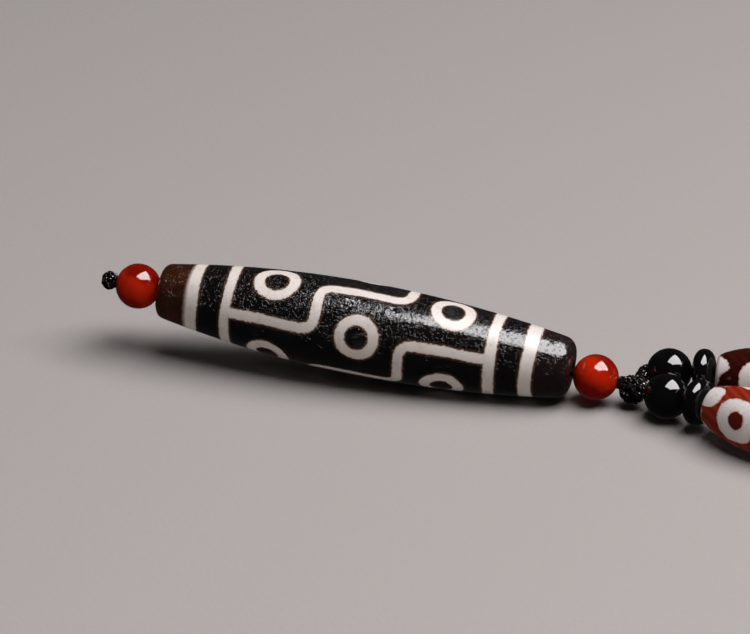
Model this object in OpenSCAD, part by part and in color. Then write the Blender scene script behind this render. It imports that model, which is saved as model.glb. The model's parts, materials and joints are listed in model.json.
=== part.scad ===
// Dzi bead necklace. A long nine-eye bead lies as a pendant between two carnelian beads, and a
// knotted cord joins it to a loop of black onyx with a small dzi bead on each side.
// +X runs from the pendant's free end to the far side of the loop, +Z is up, and the floor is
// the plane z = 0. The origin is the centre of the bounding box, on the floor.

/* [Main dzi bead] */
// Length of the main bead
dzi_len = 55.8; // [48:0.1:64]
// Largest diameter of the main bead
dzi_d = 12.3; // [11:0.1:14]
// Diameter that its long curve reaches at the free end
dzi_free_end_d = 7; // [6:0.1:8]
// Diameter that its long curve reaches at the end beside the knot
dzi_knot_end_d = 7.7; // [6.6:0.1:8.4]
// Rounding round the free end's face
dzi_free_corner_r = 1.2; // [0.5:0.1:1.6]
// Rounding round the other end's face
dzi_knot_corner_r = 1.9; // [0.8:0.1:2.1]
// Hole through the main bead
dzi_bore_d = 2.4; // [2.2:0.1:2.6]
// How far the main bead's middle lies above the thread
dzi_rise = 0.3; // [0:0.05:0.35]
// How much less the main bead tilts than the thread
dzi_level = 0.4; // [0:0.1:0.4]

/* [Carnelian beads] */
// Diameter of the two carnelian beads beside the main bead
carnelian_d = 6; // [5:0.1:7]

/* [Onyx beads] */
// Diameter of each round onyx bead
onyx_d = 6; // [5.4:0.1:6.6]
// Number of plain onyx beads on each side, past the small dzi bead
string_count = 45; // [36:1:52]

/* [Onyx discs] */
// Diameter of the discs beside each small dzi bead
disc_d = 6.2; // [5.6:0.1:6.8]
// Thickness of a disc at its middle
disc_t = 3; // [2.6:0.1:3.4]
// Rounding of a disc's rim
disc_rim_r = 1.2; // [0.8:0.1:1.25]

/* [Small dzi beads] */
// Length of a small dzi bead
small_len = 14; // [11:0.5:17]
// Largest diameter of a small dzi bead
small_d = 8; // [7:0.1:9]
// Diameter that its long curve reaches at each end
small_end_d = 4.8; // [4:0.1:5.6]
// Rounding round each end face of a small dzi bead
small_corner_r = 0.9; // [0.5:0.1:1.2]

/* [Cord and knots] */
// Diameter of the thread through the pendant's beads
pendant_thread_d = 1; // [0.7:0.1:1.2]
// Diameter of the thread round the loop
loop_thread_d = 0.8; // [0.5:0.1:1]
// Clearance between a thread and the hole that it passes, all round
thread_clear = 0.2; // [0.1:0.05:0.3]
// Diameter of the body of the knot that joins the pendant to the loop
knot_body_d = 3.8; // [3:0.1:3.9]
// Diameter of the lobes of its arm, and of the lobe against the pendant
knot_arm_d = 2; // [1.6:0.1:2.2]
// Distance from the pendant to the start of the loop, along the necklace
knot_len = 2.9; // [2.8:0.1:4]
// Diameter of the knot at the pendant's free end
end_knot_d = 2.5; // [2.2:0.1:3]
// Gap between neighbouring pieces
gap = 0.12; // [0.1:0.01:0.2]

/* [Lie of the necklace] */
// Tilt of the pendant, whose free end lies higher than its knot end
pendant_tilt = 5.1; // [3:0.1:5.5]
// Turn of the pendant from the loop's own axis
pendant_turn = 11; // [4:0.5:12]
// Angle at which each side of the loop leaves the knot
leave_angle = 6; // [4:0.5:12]
// Widest angle between a side of the loop and its axis
spread_angle = 50; // [40:1:60]
// How far the beads are slid round the loop towards its near side
slide = 1; // [0:0.1:1.2]

/* [Hidden] */
NEAR = -1;
FAR = 1;
DEG_PER_RAD = 180 / PI;
$fn = 64;
// Sides of a full circle where only a short stretch of a long curve is used
FINE = 480;

// Bores, each from the thread that passes it
pendant_bore_d = pendant_thread_d + 2 * thread_clear;
loop_bore_d = loop_thread_d + 2 * thread_clear;

// Radius of a curve through the middle of a bead whose ends are narrower
function belly_r(len, d, end_d) = let (rise = (d - end_d) / 2)
    (len * len / 4 + rise * rise) / (2 * rise);
dzi_free_belly_r = belly_r(dzi_len, dzi_d, dzi_free_end_d);
dzi_knot_belly_r = belly_r(dzi_len, dzi_d, dzi_knot_end_d);
small_belly_r = belly_r(small_len, small_d, small_end_d);

// Radius of a disc's faces, which run smoothly into its rim
disc_face_r = (disc_d * disc_d / 4 + disc_t * disc_t / 4 - disc_d * disc_rim_r)
    / (disc_t - 2 * disc_rim_r);

// Pendant, whose own axis is its thread and runs towards the knot from below the main bead's middle
dzi_tilt = pendant_tilt - dzi_level;
dzi_z = dzi_d / 2 + (dzi_knot_belly_r - dzi_d / 2) * (1 - cos(dzi_tilt));
pendant_z = dzi_z - dzi_rise;
carnelian_x = dzi_len / 2 + gap + carnelian_d / 2;
pendant_end_x = carnelian_x + carnelian_d / 2 + gap / 2;
pendant_dir = [cos(pendant_tilt) * cos(pendant_turn), cos(pendant_tilt) * sin(pendant_turn),
    -sin(pendant_tilt)];

// Beads of one side of the loop, counted from the knot, and the lift that the small dzi bead gives
ONYX = 0;
INNER_DISC = 1;
SMALL_DZI = 2;
OUTER_DISC = 3;
STRING_START = 4;
bead_count = STRING_START + string_count;
lift = max(0, (small_d - onyx_d) / 2);
KNOT_LIFT = -0.2;
DISC_LIFT = 0.6;
STRING_LIFT = 0.1;
disc_lean = asin((1 - DISC_LIFT) * lift / disc_t);
disc_gap = gap + disc_face_r * (1 - cos(disc_lean));

function bead_len(i) = i == INNER_DISC || i == OUTER_DISC ? disc_t
    : i == SMALL_DZI ? small_len : onyx_d;
// Gap before bead i, which is wider where a disc leans on its neighbour
function gap_before(i) = i > ONYX && i <= STRING_START ? disc_gap : gap;
// Height of the thread at the gap before bead i
function gap_z(i) = onyx_d / 2 + lift * (
    i == SMALL_DZI || i == OUTER_DISC ? 1
    : i == INNER_DISC || i == STRING_START ? DISC_LIFT
    : i == ONYX ? KNOT_LIFT
    : i == STRING_START + 1 ? STRING_LIFT : 0);
function bead_pitch(i) = bead_len(i) + (gap_before(i) + gap_before(i + 1)) / 2;
function bead_step(i) = sqrt(pow(bead_pitch(i), 2) - pow(gap_z(i + 1) - gap_z(i), 2));
function gap_s(i) = i == 0 ? 0 : gap_s(i - 1) + bead_step(i - 1);
gap_places = [for (i = [0:bead_count]) gap_s(i)];
half_loop = gap_places[bead_count];

// Route of one side: an arc that spreads, then an arc that comes round to the loop's axis
first_spacing = sqrt(pow(onyx_d + 2 * gap, 2) - 4 * slide * slide) / 2;
start_y = first_spacing - onyx_d / 2 * sin(leave_angle);
spread_turn = (spread_angle - leave_angle) / DEG_PER_RAD;
return_turn = (spread_angle + 90) / DEG_PER_RAD;
spread_r = (half_loop - start_y * return_turn / cos(spread_angle))
    / (spread_turn + (cos(leave_angle) / cos(spread_angle) - 1) * return_turn);
return_r = (start_y + spread_r * (cos(leave_angle) - cos(spread_angle))) / cos(spread_angle);
spread_len = spread_r * spread_turn;

function route_heading(s) = s < spread_len ? leave_angle + s / spread_r * DEG_PER_RAD
    : spread_angle - (s - spread_len) / return_r * DEG_PER_RAD;
function route_x(s) = let (a = route_heading(s)) knot_len + (s < spread_len
    ? spread_r * (sin(a) - sin(leave_angle))
    : spread_r * (sin(spread_angle) - sin(leave_angle)) + return_r * (sin(spread_angle) - sin(a)));
function route_y(s) = let (a = route_heading(s)) s < spread_len
    ? start_y + spread_r * (cos(leave_angle) - cos(a)) : return_r * cos(a);

// Place of gap i on one side of the loop, and the middle of bead i on its straight stretch of thread
function gap_at(side, i) = let (s = gap_places[i] - side * slide)
    [route_x(s), side * route_y(s), gap_z(i)];
function bead_at(side, i) = let (a = gap_at(side, i), b = gap_at(side, i + 1))
    a + (b - a) * (gap_before(i) + bead_len(i)) / 2 / bead_pitch(i);

// Pendant's place: its knot end lines up with the near side's start
pendant_end = [0, -start_y, pendant_z - pendant_end_x * sin(pendant_tilt)];
pendant_at = pendant_end - pendant_end_x * pendant_dir;
dzi_at = pendant_at + [0, 0, dzi_rise];

// Knot at the free end: a ring of lobes and one on the axis
END_LOBES = 3;
end_lobe_r = end_knot_d * 0.29;
end_ring_r = end_knot_d / 2 - end_lobe_r;
end_ring_x = pendant_end_x + gap / 2 + end_lobe_r;
end_tip_x = end_ring_x + end_lobe_r * 0.9;

// Bounding box on the floor, from the pieces that reach furthest
ends_x = [for (side = [NEAR, FAR]) for (i = [STRING_START:bead_count - 1]) bead_at(side, i)[0]];
ends_y = [for (side = [NEAR, FAR]) for (i = [STRING_START:bead_count - 1]) bead_at(side, i)[1]];
low_x = (pendant_at - end_tip_x * pendant_dir)[0] - end_lobe_r;
high_x = max(ends_x) + onyx_d / 2;
middle = [(low_x + high_x) / 2, (min(ends_y) + max(ends_y)) / 2, 0];

// Moves a bead whose axis is X to the middle of stretch i on one side
module on_thread(side, i) {
    along = gap_at(side, i + 1) - gap_at(side, i);
    translate(bead_at(side, i) - middle)
        rotate([0, -asin(along[2] / norm(along)), atan2(along[1], along[0])])
            children();
}

// Moves a piece from the pendant's own axis to where the pendant lies
module on_pendant(x = 0) {
    translate(pendant_at - middle)
        rotate([0, pendant_tilt, pendant_turn])
            translate([x, 0, 0]) children();
}

// Cylinder along X, centred
module along_x(len, d) {
    rotate([0, 90, 0]) cylinder(h = len, d = d, center = true);
}

// Bead along X: half of its outline, less the hole for the thread, turned about its axis
module drilled_bead(len, bore_d) {
    rotate([0, 90, 0]) rotate_extrude() difference() {
        children();
        translate([-len, -len]) square([len + bore_d / 2, 2 * len]);
    }
}

// Outline of one end of a barrel bead, whose long curve runs smoothly into the end's rounding
module barrel_end(len, d, curve_r, corner_r) {
    corner_y = len / 2 - corner_r;
    corner_x = sqrt(pow(curve_r - corner_r, 2) - corner_y * corner_y) - (curve_r - d / 2);
    meet_y = corner_y * curve_r / (curve_r - corner_r);
    intersection() {
        translate([d / 2 - curve_r, 0]) circle(r = curve_r, $fn = FINE);
        square([d, meet_y]);
    }
    square([corner_x, len / 2]);
    translate([corner_x, corner_y]) circle(r = corner_r);
}

module round_bead(d, bore_d) {
    drilled_bead(d, bore_d) circle(d = d);
}

// Black disc with two shallow faces and a round rim
module disc_bead() {
    rim_x = disc_d / 2 - disc_rim_r;
    meet_x = rim_x * disc_face_r / (disc_face_r - disc_rim_r);
    color("black") drilled_bead(disc_d, loop_bore_d) {
        intersection() {
            translate([0, disc_t / 2 - disc_face_r]) circle(r = disc_face_r, $fn = FINE);
            translate([0, disc_face_r - disc_t / 2]) circle(r = disc_face_r, $fn = FINE);
            translate([0, -disc_t / 2]) square([meet_x, disc_t]);
        }
        translate([rim_x, 0]) circle(r = disc_rim_r);
    }
}

module small_dzi() {
    color("firebrick") drilled_bead(small_len, loop_bore_d)
        for (end = [0, 1])
            mirror([0, end]) barrel_end(small_len, small_d, small_belly_r, small_corner_r);
}

module onyx() {
    color("black") round_bead(onyx_d, loop_bore_d);
}

module carnelian() {
    color("orangered") round_bead(carnelian_d, pendant_bore_d);
}

module main_dzi() {
    color("dimgray") translate(dzi_at - middle) rotate([0, dzi_tilt, pendant_turn])
        drilled_bead(dzi_len, dzi_bore_d) {
            barrel_end(dzi_len, dzi_d, dzi_knot_belly_r, dzi_knot_corner_r);
            mirror([0, 1]) barrel_end(dzi_len, dzi_d, dzi_free_belly_r, dzi_free_corner_r);
        }
}

module pendant_thread() {
    color("black") on_pendant() along_x(2 * pendant_end_x - gap, pendant_thread_d);
}

module end_knot() {
    color("black") on_pendant() union() {
        for (i = [0:END_LOBES - 1])
            rotate([360 / END_LOBES * i, 0, 0])
                translate([-end_ring_x, 0, end_ring_r]) sphere(r = end_lobe_r);
        translate([-end_tip_x, 0, 0]) sphere(r = end_lobe_r);
    }
}

// Lobes of one size from one point to another, each well within the next
module lobes(from, to, r) {
    steps = max(1, ceil(norm(to - from) / r));
    for (i = [1:steps]) translate(from + i / steps * (to - from)) sphere(r = r);
}

// Knot that joins the pendant to both sides of the loop: a body against the near side, with lobes
// from it to the pendant and an arm of lobes to the far side
module junction_knot() {
    body_r = knot_body_d / 2;
    lobe_r = knot_arm_d / 2;
    body = gap_at(NEAR, 0) - (body_r + gap / 2) * [cos(leave_angle), -sin(leave_angle), 0];
    first = pendant_end + (lobe_r + gap / 2) * pendant_dir;
    arm_end = gap_at(FAR, 0) - (lobe_r + gap / 2) * [cos(leave_angle), sin(leave_angle), 0];
    color("black") translate(-middle) union() {
        translate(body) sphere(r = body_r);
        lobes(body, first, lobe_r);
        lobes(body, arm_end, lobe_r);
    }
}

module onyx_string(side) {
    for (i = [STRING_START:bead_count - 1]) on_thread(side, i) onyx();
}

// Thread round the loop: one tube with a ring of corners at every gap, from the far side's start
// round to the near side's
THREAD_SIDES = 6;
module loop_thread() {
    far_stops = [for (i = [0:bead_count]) [gap_at(FAR, i), route_heading(gap_places[i] - slide)]];
    near_stops = [for (i = [bead_count - 1:-1:0])
        [gap_at(NEAR, i), 180 - route_heading(gap_places[i] + slide)]];
    stops = concat(far_stops, near_stops);
    last = len(stops) - 1;
    corners = [for (stop = stops) for (k = [0:THREAD_SIDES - 1])
        let (a = 360 / THREAD_SIDES * k)
            stop[0] - middle + loop_thread_d / 2
                * [-sin(stop[1]) * cos(a), cos(stop[1]) * cos(a), sin(a)]];
    walls = [for (i = [0:last - 1]) for (k = [0:THREAD_SIDES - 1])
        let (a = i * THREAD_SIDES + k, b = i * THREAD_SIDES + (k + 1) % THREAD_SIDES)
            [a, a + THREAD_SIDES, b + THREAD_SIDES, b]];
    start_cap = [for (k = [0:THREAD_SIDES - 1]) k];
    end_cap = [for (k = [THREAD_SIDES - 1:-1:0]) last * THREAD_SIDES + k];
    color("black") polyhedron(points = corners, faces = concat([start_cap], walls, [end_cap]));
}

end_knot();
on_pendant(-carnelian_x) carnelian();  // outer_carnelian
main_dzi();
on_pendant(carnelian_x) carnelian();  // inner_carnelian
pendant_thread();
junction_knot();
on_thread(NEAR, ONYX) onyx();  // near_onyx
on_thread(NEAR, INNER_DISC) disc_bead();  // near_inner_disc
on_thread(NEAR, SMALL_DZI) small_dzi();  // near_small_dzi
on_thread(NEAR, OUTER_DISC) disc_bead();  // near_outer_disc
onyx_string(NEAR);  // near_onyx_string
on_thread(FAR, ONYX) onyx();  // far_onyx
on_thread(FAR, INNER_DISC) disc_bead();  // far_inner_disc
on_thread(FAR, SMALL_DZI) small_dzi();  // far_small_dzi
on_thread(FAR, OUTER_DISC) disc_bead();  // far_outer_disc
onyx_string(FAR);  // far_onyx_string
loop_thread();
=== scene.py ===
"""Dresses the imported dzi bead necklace: its stones, cords and knots, on a pale floor under one softbox.

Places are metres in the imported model's own frame. Sizes are millimetres unless their names say otherwise.
"""

import json
import logging
import math
from dataclasses import dataclass
from enum import Enum

import bmesh
import bpy
import numpy as np
from mathutils import Matrix, Vector, noise

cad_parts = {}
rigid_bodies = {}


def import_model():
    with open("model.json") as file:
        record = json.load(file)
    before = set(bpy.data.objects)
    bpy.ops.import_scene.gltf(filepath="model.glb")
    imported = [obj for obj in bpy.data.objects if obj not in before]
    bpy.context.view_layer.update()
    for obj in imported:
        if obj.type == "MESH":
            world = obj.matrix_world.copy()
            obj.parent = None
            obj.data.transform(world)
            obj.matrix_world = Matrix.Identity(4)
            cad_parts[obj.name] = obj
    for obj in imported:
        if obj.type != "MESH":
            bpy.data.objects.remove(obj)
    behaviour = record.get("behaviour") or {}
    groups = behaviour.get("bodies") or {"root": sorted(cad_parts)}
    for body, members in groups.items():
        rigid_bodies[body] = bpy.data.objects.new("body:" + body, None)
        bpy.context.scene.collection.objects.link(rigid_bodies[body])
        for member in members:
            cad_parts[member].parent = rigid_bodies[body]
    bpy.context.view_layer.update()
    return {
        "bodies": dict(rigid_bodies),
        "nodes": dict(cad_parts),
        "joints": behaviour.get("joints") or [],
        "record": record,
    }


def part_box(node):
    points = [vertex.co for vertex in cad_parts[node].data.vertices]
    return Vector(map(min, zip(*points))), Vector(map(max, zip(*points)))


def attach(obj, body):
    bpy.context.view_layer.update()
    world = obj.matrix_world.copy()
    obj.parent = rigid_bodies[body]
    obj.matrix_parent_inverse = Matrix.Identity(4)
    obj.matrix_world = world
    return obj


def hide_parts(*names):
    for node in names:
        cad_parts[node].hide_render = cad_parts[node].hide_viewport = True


MM = 0.001
UP = Vector((0.0, 0.0, 1.0))
PHOTO_WIDTH_PX = 750
AGATE_IOR = 1.54
DOUBLES_M = 1e-6
PLACE_DIGITS = 6
UNREACHED = 1e9
ALMOST_NONE = 1e-12
CORNER_POINTS = 7

Socket = bpy.types.NodeSocket
Route = list[tuple[float, float]]
log = logging.getLogger("necklace")


class Slot(str, Enum):
    """The record's material slots."""

    DZI = "dzi_agate"
    CARNELIAN = "carnelian"
    ONYX = "onyx"
    SMALL_DZI = "small_dzi_agate"
    CORD = "cord"


@dataclass(frozen=True)
class Seat:
    """Where a bead sits: its middle and the direction of the thread through it."""

    centre: Vector
    axis: Vector

    def matrix(self) -> Matrix:
        """Turns local +X to the thread, local +Y to the far side and local +Z upwards.

        Returns:
            The matrix from the bead's own place to the necklace's.
        """
        along = self.axis.normalized()
        across = UP.cross(along).normalized()
        placed = Matrix((along, across, along.cross(across))).transposed().to_4x4()
        placed.translation = self.centre
        return placed

    def pole(self, reach: float) -> Vector:
        """Returns the point on the thread at a signed distance from the bead's middle."""
        return self.centre + self.axis.normalized() * reach


def box_centre(node: str) -> Vector:
    """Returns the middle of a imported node's box."""
    low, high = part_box(node)
    return (low + high) / 2


def vertex_array(node: bpy.types.Object) -> np.ndarray:
    """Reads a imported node's vertices.

    Args:
        node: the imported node.

    Returns:
        Rows of x, y and z.
    """
    places = np.zeros(len(node.data.vertices) * 3)
    node.data.vertices.foreach_get("co", places)
    return places.reshape(-1, 3)


def principal_axis(node: bpy.types.Object, longest: bool) -> Vector:
    """Finds the axis of a turned bead from the spread of its vertices.

    Args:
        node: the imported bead.
        longest: True for a bead longer than it is wide, False for a flat disc.

    Returns:
        A unit vector that points towards +X.
    """
    places = np.unique(np.round(vertex_array(node), PLACE_DIGITS), axis=0)
    _, directions = np.linalg.eigh(np.cov((places - places.mean(0)).T))
    axis = Vector(directions[:, 2 if longest else 0])
    return axis if axis.x >= 0 else -axis


def loose_centres(node: bpy.types.Object, start: Vector) -> list[Vector]:
    """Finds the middles of a string's beads, in order along it.

    Args:
        node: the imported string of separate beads.
        start: a point just before its first bead.

    Returns:
        One point for each bead.
    """
    shape = bmesh.new()
    shape.from_mesh(node.data)
    bmesh.ops.remove_doubles(shape, verts=shape.verts, dist=DOUBLES_M)
    unseen = set(shape.verts)
    centres = []
    while unseen:
        island, queue = [], [unseen.pop()]
        while queue:
            vert = queue.pop()
            island.append(vert.co)
            for edge in vert.link_edges:
                other = edge.other_vert(vert)
                if other in unseen:
                    unseen.remove(other)
                    queue.append(other)
        low = Vector(map(min, *island))
        high = Vector(map(max, *island))
        centres.append((low + high) / 2)
    shape.free()
    ordered, here = [], start
    while centres:
        nearest = min(centres, key=lambda centre: (centre - here).length)
        centres.remove(nearest)
        ordered.append(nearest)
        here = nearest
    return ordered


def new_piece(name: str, mesh: bpy.types.Mesh, node: str,
              finish: bpy.types.Material | None = None) -> bpy.types.Object:
    """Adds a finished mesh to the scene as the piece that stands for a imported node.

    Args:
        name: the piece's name.
        mesh: its mesh, already in place.
        node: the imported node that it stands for.
        finish: its material, unless the mesh carries it already.

    Returns:
        The new object.
    """
    piece = bpy.data.objects.new(name, mesh)
    bpy.context.scene.collection.objects.link(piece)
    for polygon in mesh.polygons:
        polygon.use_smooth = True
    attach(piece, "root")
    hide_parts(node)
    if finish is not None:
        mesh.materials.append(finish)
    log.info("%s: %d faces", name, len(mesh.polygons))
    return piece


@dataclass(frozen=True)
class Step:
    """A smooth step of a value: from one level to another between two limits."""

    low: float
    high: float
    before: float = 0.0
    after: float = 1.0


@dataclass(frozen=True)
class Grain:
    """A noise pattern: its scale to the millimetre, how many finer layers it has and their share."""

    scale: float
    detail: float = 2.0
    rough: float = 0.5


@dataclass(frozen=True)
class Patches:
    """The patches that a smooth step brings out of a noise pattern."""

    grain: Grain
    step: Step


@dataclass(frozen=True)
class Relief:
    """A bumpy surface: how strongly its bumps show, and their height in millimetres."""

    strength: float
    height: float


@dataclass(frozen=True)
class InnerGlow:
    """Light that spreads inside a stone: its share, each colour's part of its reach, and that reach."""

    share: float
    colour_reach: tuple
    reach: float


@dataclass
class Bench:
    """Lays out the nodes of one material or geometry tree."""

    tree: bpy.types.NodeTree

    def node(self, kind: str, props: dict | None = None, **inputs: object) -> bpy.types.Node:
        """Adds a node.

        Args:
            kind: Blender's name of the node type.
            props: attributes to set on the node itself.
            **inputs: values or output sockets by input name, with underscores for spaces.

        Returns:
            The new node.
        """
        made = self.tree.nodes.new(kind)
        for key, value in (props or {}).items():
            setattr(made, key, value)
        self.dress(made, **inputs)
        return made

    def dress(self, node: bpy.types.Node, **inputs: object) -> None:
        """Feeds a node's inputs, named with underscores for spaces."""
        for key, value in inputs.items():
            self.feed(node.inputs[key.replace("_", " ")], value)

    def feed(self, socket: Socket, value: object) -> None:
        """Links an output to a socket, or sets the socket's own value.

        Args:
            socket: the input to feed.
            value: an output, or a plain value.
        """
        if isinstance(value, bpy.types.NodeSocket):
            self.tree.links.new(value, socket)
        else:
            socket.default_value = value

    def math(self, operation: str, first: object, *others: object) -> Socket:
        """Works out a number from one value, or from two or more joined one after the other.

        Args:
            operation: Blender's name of the maths.
            first: the first number or socket.
            *others: the numbers or sockets that join it in turn.

        Returns:
            The result.
        """
        result = first
        for other in others or (0.0,):
            made = self.node("ShaderNodeMath", {"operation": operation})
            self.feed(made.inputs[0], result)
            self.feed(made.inputs[1], other)
            result = made.outputs[0]
        return result

    def vector(self, operation: str, *values: object) -> Socket:
        """Works out a vector, or a number from vectors.

        Args:
            operation: Blender's name of the vector maths.
            *values: its vectors and numbers, in the order of its enabled inputs.

        Returns:
            Its first enabled output.
        """
        made = self.node("ShaderNodeVectorMath", {"operation": operation})
        for socket, value in zip((s for s in made.inputs if s.enabled), values):
            self.feed(socket, value)
        return next(s for s in made.outputs if s.enabled)

    def step(self, value: object, step: Step) -> Socket:
        """Takes a smooth step of a value.

        Args:
            value: a number or socket.
            step: the step's limits and levels.

        Returns:
            The level.
        """
        made = self.node(
            "ShaderNodeMapRange", {"interpolation_type": "SMOOTHSTEP"},
            Value=value, From_Min=step.low, From_Max=step.high, To_Min=step.before, To_Max=step.after,
        )
        return made.outputs[0]

    def mix(self, share: object, first: object, second: object) -> Socket:
        """Mixes two colours.

        Args:
            share: how much of the second there is.
            first: the colour at none.
            second: the colour at one.

        Returns:
            The colour between them.
        """
        made = self.node("ShaderNodeMix", {"data_type": "RGBA"})
        self.feed(made.inputs[0], share)
        self.feed(made.inputs[6], first)
        self.feed(made.inputs[7], second)
        return made.outputs[2]

    def noise(self, place: Socket, grain: Grain) -> Socket:
        """Reads a noise pattern.

        Args:
            place: the place on the piece.
            grain: the pattern.

        Returns:
            Its value, from nought to one.
        """
        made = self.node("ShaderNodeTexNoise", Vector=place, Scale=grain.scale, Detail=grain.detail,
                         Roughness=grain.rough)
        return made.outputs[0]

    def swing(self, place: Socket, grain: Grain) -> Socket:
        """Returns a noise pattern's value as a swing to either side of nought."""
        return self.math("SUBTRACT", self.noise(place, grain), 0.5)

    def patches(self, place: Socket, patches: Patches) -> Socket:
        """Returns the level of patches of noise at a place."""
        return self.step(self.noise(place, patches.grain), patches.step)

    def attribute(self, name: str) -> Socket:
        """Returns the number that the mesh stores under a name."""
        return self.node("ShaderNodeAttribute", {"attribute_name": name}).outputs["Fac"]

    def bumps(self, height: Socket, relief: Relief) -> Socket:
        """Raises bumps on a surface.

        Args:
            height: how high the surface stands at each place.
            relief: how strongly that shows.

        Returns:
            The surface's normal.
        """
        made = self.node("ShaderNodeBump", Height=height, Strength=relief.strength,
                         Distance=relief.height * MM)
        return made.outputs[0]

    def glow(self, shader: bpy.types.Node, glow: InnerGlow) -> None:
        """Spreads light inside the stone that a shader shows."""
        self.dress(shader, Subsurface_Weight=glow.share, Subsurface_Radius=glow.colour_reach,
                   Subsurface_Scale=glow.reach * MM)


def new_material(name: str) -> tuple[bpy.types.Material, Bench, bpy.types.Node]:
    """Starts a material with a principled shader.

    Args:
        name: the material's name.

    Returns:
        The material, a bench for its nodes and its shader.
    """
    material = bpy.data.materials.new(name)
    material.use_nodes = True
    bench = Bench(material.node_tree)
    return material, bench, material.node_tree.nodes["Principled BSDF"]


def object_place(bench: Bench) -> Socket:
    """Returns the place on the piece in millimetres."""
    coordinates = bench.node("ShaderNodeTexCoord").outputs["Object"]
    return bench.node("ShaderNodeMapping", Vector=coordinates, Scale=(1 / MM, 1 / MM, 1 / MM)).outputs[0]


def rgb(red: float, green: float, blue: float) -> tuple[float, float, float, float]:
    """Returns an opaque colour from its linear parts."""
    return (red, green, blue, 1.0)


@dataclass(frozen=True)
class EtchedAgate:
    """Finish of the main bead: black agate with a worn, chipped polish and etched ivory lines.

    A step named along is read along the bead from its middle, and a step named edge by the depth inside a
    line, both in millimetres.
    """

    black: tuple = rgb(0.0035, 0.0028, 0.0027)
    warm_black: tuple = rgb(0.009, 0.006, 0.005)
    left_end: tuple = rgb(0.060, 0.014, 0.004)
    right_end: tuple = rgb(0.015, 0.0075, 0.0075)
    halo: tuple = rgb(0.080, 0.036, 0.016)
    ivory: tuple = rgb(0.86, 0.79, 0.73)
    ivory_rim: tuple = rgb(0.55, 0.46, 0.40)
    ivory_dirt: tuple = rgb(0.46, 0.36, 0.29)

    wobble: Grain = Grain(1.6, 3.0, 0.65)
    wobble_reach: float = 0.34
    fray: Grain = Grain(6.5, 2.0, 0.6)
    fray_reach: float = 0.55
    sharp_edge: Step = Step(-0.05, 0.05)
    soft_edge: Step = Step(-0.42, 0.30)
    halo_edge: Step = Step(-0.46, -0.04, 0.0, 0.9)
    rim_edge: Step = Step(0.02, 0.20, 0.5, 0.0)
    soft_along: Step = Step(-23.1, -22.7, 1.0, 0.0)
    left_along: Step = Step(-24.2, -22.9, 1.0, 0.0)
    right_along: Step = Step(22.2, 23.6)

    warm_patches: Patches = Patches(Grain(0.5), Step(0.35, 0.75, 0.0, 0.5))
    left_cloud: Patches = Patches(Grain(0.22), Step(0.3, 0.7, 0.35, 1.0))
    stain: Patches = Patches(Grain(0.8, 4.0, 0.7), Step(0.50, 0.78, 0.0, 0.40))
    specks: Patches = Patches(Grain(4.2, 2.0, 0.6), Step(0.66, 0.76, 0.0, 0.8))

    grain: Grain = Grain(2.4)
    grain_height: float = 0.25
    dimple_scale: float = 2.2
    dimple: Step = Step(0.04, 0.44, 0.0, 0.4)
    crease_line: Grain = Grain(1.9, 1.0)
    crease: Step = Step(0.0, 0.07, 0.0, 0.20)
    chip_scale: float = 2.8
    chip_rounding: float = 0.12
    chipped: Patches = Patches(Grain(1.5, 1.0), Step(0.46, 0.58, 1.5, 12.5))
    pits: Patches = Patches(Grain(2.3), Step(0.585, 0.64, 0.0, 0.8))
    worn: Patches = Patches(Grain(0.20), Step(0.40, 0.60, 0.50, 0.78))
    worn_right_along: Step = Step(0.0, 9.0, 1.0, 0.22)
    worn_left_along: Step = Step(-22.0, -8.0, 0.32, 1.0)
    ivory_calm: float = 0.88
    relief: Relief = Relief(strength=1.0, height=0.045)
    gloss: Patches = Patches(Grain(1.1), Step(0.3, 0.7, 0.065, 0.12))
    ivory_matt: float = 0.30

    def build(self) -> bpy.types.Material:
        """Makes the material, which reads the bead's line_depth and along attributes.

        Returns:
            The material.
        """
        material, bench, shader = new_material("etched_agate")
        place = object_place(bench)
        along = bench.attribute("along")
        edge = self.frayed_edge(bench, place)
        soft = bench.step(along, self.soft_along)
        white = bench.mix(soft, bench.step(edge, self.sharp_edge), bench.step(edge, self.soft_edge))
        dark = self.dark_stone(bench, place, along, edge)
        height = self.worn_surface(bench, place, along, white)
        matt = bench.math("MULTIPLY", white, self.ivory_matt)
        bench.dress(
            shader,
            Base_Color=bench.mix(white, dark, self.etching(bench, place, edge)),
            Normal=bench.bumps(height, self.relief),
            Roughness=bench.math("ADD", bench.patches(place, self.gloss), matt),
            IOR=AGATE_IOR,
        )
        return material

    def frayed_edge(self, bench: Bench, place: Socket) -> Socket:
        """Makes the lines' edges as uneven as etching leaves them.

        Args:
            bench: the material's bench.
            place: the place on the piece.

        Returns:
            The depth inside the lines.
        """
        wobble = bench.math("MULTIPLY", bench.swing(place, self.wobble), self.wobble_reach)
        fray = bench.math("MULTIPLY", bench.swing(place, self.fray), self.fray_reach)
        return bench.math("ADD", bench.attribute("line_depth"), wobble, fray)

    def dark_stone(self, bench: Bench, place: Socket, along: Socket, edge: Socket) -> Socket:
        """Colours the stone between the lines, with its brown ends and the brown rim beside each line.

        Args:
            bench: the material's bench.
            place: the place on the piece.
            along: the distance along the bead.
            edge: the depth inside the lines.

        Returns:
            The colour.
        """
        colour = bench.mix(bench.patches(place, self.warm_patches), self.black, self.warm_black)
        cloud = bench.patches(place, self.left_cloud)
        left = bench.math("MULTIPLY", bench.step(along, self.left_along), cloud)
        colour = bench.mix(left, colour, self.left_end)
        colour = bench.mix(bench.step(along, self.right_along), colour, self.right_end)
        return bench.mix(bench.step(edge, self.halo_edge), colour, self.halo)

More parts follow.
